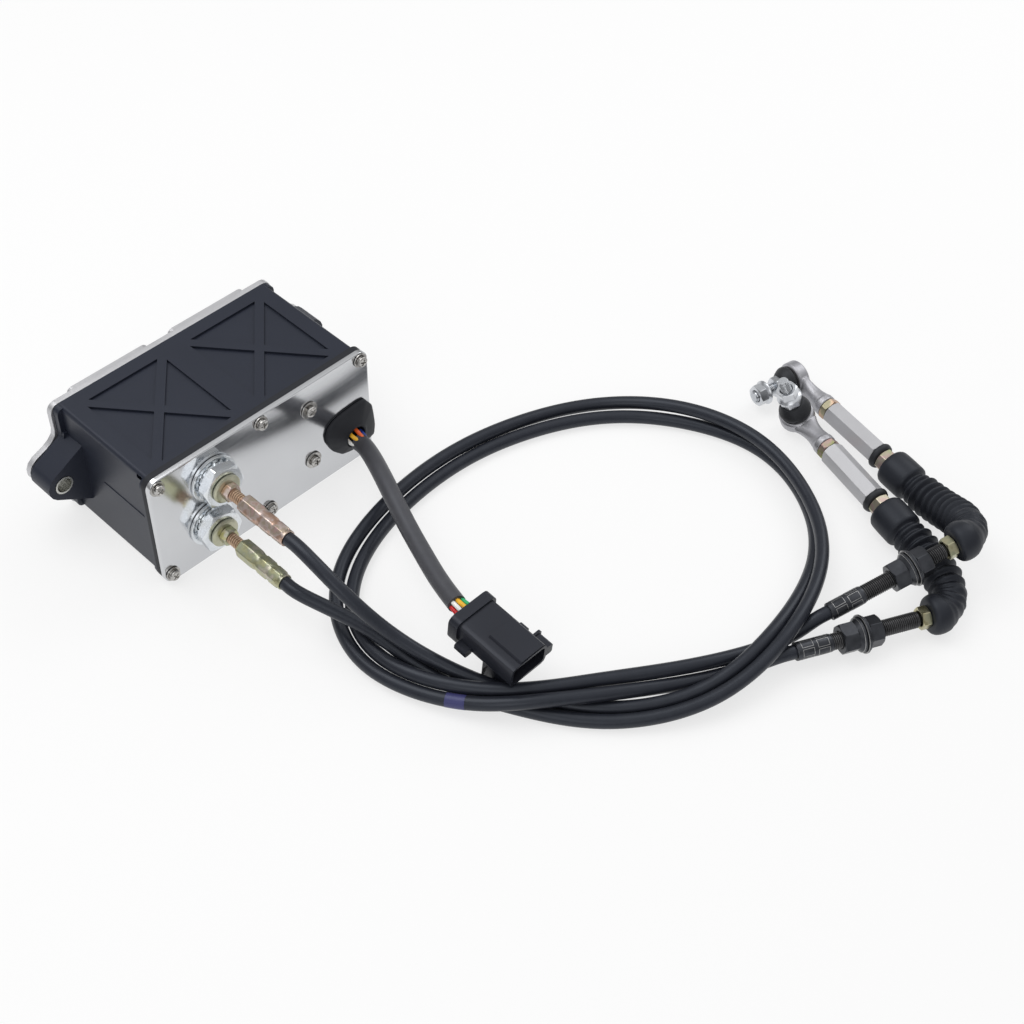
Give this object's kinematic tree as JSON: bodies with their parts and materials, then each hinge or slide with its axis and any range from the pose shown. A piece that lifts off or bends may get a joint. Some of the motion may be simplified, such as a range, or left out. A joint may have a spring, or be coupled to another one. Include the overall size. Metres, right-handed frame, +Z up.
{
  "type": "engine governor actuator",
  "caption": "Boxed engine governor actuator with a wiring plug and long control cables that end in bellows boots, turnbuckles and ball studs.",
  "frame": {"origin": "underside of the housing, at the middle of its width and depth", "axes": "+Z up, -Y out through the plate that carries the cable fittings, +X along that plate towards the wiring grommet"},
  "size_m": [0.4432, 0.4665, 0.0881],
  "materials": {
    "black_plastic": "fine moulded texture",
    "rubber": "matt",
    "steel_plate": "bright, lightly brushed",
    "die_cast": "as cast",
    "bright_zinc": "bright zinc",
    "olive_zinc": "olive and yellow passivated zinc",
    "copper_zinc": "copper coloured passivated zinc",
    "satin_aluminium": "satin",
    "black_oxide": "black oxide",
    "pvc": "satin",
    "brass": "plain"
  },
  "bodies": {
    "actuator": {"back_cover": "die_cast", "bracket_screw_1": "steel_plate", "bracket_screw_2": "steel_plate", "connector": "black_plastic", "connector_pins": "brass", "front_plate": "steel_plate", "gasket": "rubber", "grommet": "rubber", "harness_sleeve": "pvc", "housing": "black_plastic", "left_bushing": "bright_zinc", "lower_boot": "rubber", "lower_bulkhead_nut": "bright_zinc", "lower_conduit": "rubber", "lower_ferrule": "olive_zinc", "lower_flange_nut": "black_oxide", "lower_gland": "olive_zinc", "lower_hub": "black_oxide", "lower_hub_collar": "olive_zinc", "lower_jam_nut": "black_oxide", "lower_lock_washer": "bright_zinc", "motor": "steel_plate", "motor_bracket": "steel_plate", "plate_screw_1": "steel_plate", "plate_screw_2": "steel_plate", "plate_screw_3": "steel_plate", "plate_screw_4": "steel_plate", "plate_screw_5": "steel_plate", "plate_screw_6": "steel_plate", "position_sensor": "black_plastic", "right_bushing": "bright_zinc", "upper_boot": "rubber", "upper_bulkhead_nut": "bright_zinc", "upper_conduit": "rubber", "upper_ferrule": "copper_zinc", "upper_flange_nut": "black_oxide", "upper_gland": "olive_zinc", "upper_hub": "black_oxide", "upper_hub_collar": "olive_zinc", "upper_jam_nut": "black_oxide", "upper_lock_washer": "bright_zinc"},
    "cable_drum": {"drum": "brass"},
    "pinion_shaft": {"motor_pinion": "steel_plate"},
    "upper_inner_wire": {"upper_wire": "steel_plate"},
    "lower_inner_wire": {"lower_wire": "steel_plate"},
    "upper_link": {"upper_front_lock_nut": "copper_zinc", "upper_link_bar": "satin_aluminium", "upper_rear_lock_nut": "olive_zinc", "upper_rod_end": "die_cast"},
    "lower_link": {"lower_front_lock_nut": "copper_zinc", "lower_link_bar": "satin_aluminium", "lower_rear_lock_nut": "olive_zinc", "lower_rod_end": "die_cast"},
    "upper_cap": {"upper_dust_cap": "rubber"},
    "lower_cap": {"lower_dust_cap": "rubber"},
    "upper_stud": {"upper_ball_stud": "bright_zinc", "upper_stud_nut": "bright_zinc"},
    "lower_stud": {"lower_ball_stud": "bright_zinc", "lower_stud_nut": "bright_zinc"}
  },
  "joints": [
    {"name": "drum_turn", "type": "hinge", "parent": "actuator", "child": "cable_drum", "pos_m": [0, -0.01, 0.04675], "axis": [1, 0, 0], "range_deg": [-12, 60]},
    {"name": "pinion_turn", "type": "hinge", "parent": "actuator", "child": "pinion_shaft", "pos_m": [0, 0.01364, 0.02828], "axis": [1, 0, 0], "range_deg": [-246, 54]},
    {"name": "upper_wire_slide", "type": "slide", "parent": "actuator", "child": "upper_inner_wire", "axis": [0, -1, 0], "range_m": [-0.0037, 0.0182]},
    {"name": "lower_wire_slide", "type": "slide", "parent": "actuator", "child": "lower_inner_wire", "axis": [0, -1, 0], "range_m": [-0.0182, 0.0037]},
    {"name": "upper_link_slide", "type": "slide", "parent": "actuator", "child": "upper_link", "axis": [0.2099, 0.9777, 0], "range_m": [-0.0037, 0.0182], "deforming": ["upper_boot"]},
    {"name": "lower_link_slide", "type": "slide", "parent": "actuator", "child": "lower_link", "axis": [0.2891, 0.9573, 0], "range_m": [-0.0182, 0.0037], "deforming": ["lower_boot"]},
    {"name": "upper_stud_tilt", "type": "hinge", "parent": "upper_link", "child": "upper_cap", "pos_m": [0.327, -0.2107, 0.0127], "axis": [0, 0, -1], "range_deg": [-4, 14], "deforming": ["upper_dust_cap"]},
    {"name": "lower_stud_tilt", "type": "hinge", "parent": "lower_link", "child": "lower_cap", "pos_m": [0.2996, -0.2342, 0.0127], "axis": [-0.8876, 0.268, -0.3746], "range_deg": [-20, 6], "deforming": ["lower_dust_cap"]},
    {"name": "upper_stud_spin", "type": "hinge", "parent": "upper_cap", "child": "upper_stud", "pos_m": [0.327, -0.2107, 0.0127], "axis": [-0.9777, 0.2099, 0], "continuous": true},
    {"name": "lower_stud_spin", "type": "hinge", "parent": "lower_cap", "child": "lower_stud", "pos_m": [0.2996, -0.2342, 0.0127], "axis": [-0.3149, 0.2405, 0.9182], "continuous": true}
  ],
  "couplings": [
    {"joint": "pinion_turn", "follows": "drum_turn", "ratio": -4},
    {"joint": "upper_wire_slide", "follows": "drum_turn", "m_per_rad": 0.01725},
    {"joint": "lower_wire_slide", "follows": "drum_turn", "m_per_rad": -0.01725},
    {"joint": "upper_link_slide", "follows": "drum_turn", "m_per_rad": 0.01725},
    {"joint": "lower_link_slide", "follows": "drum_turn", "m_per_rad": -0.01725}
  ]
}
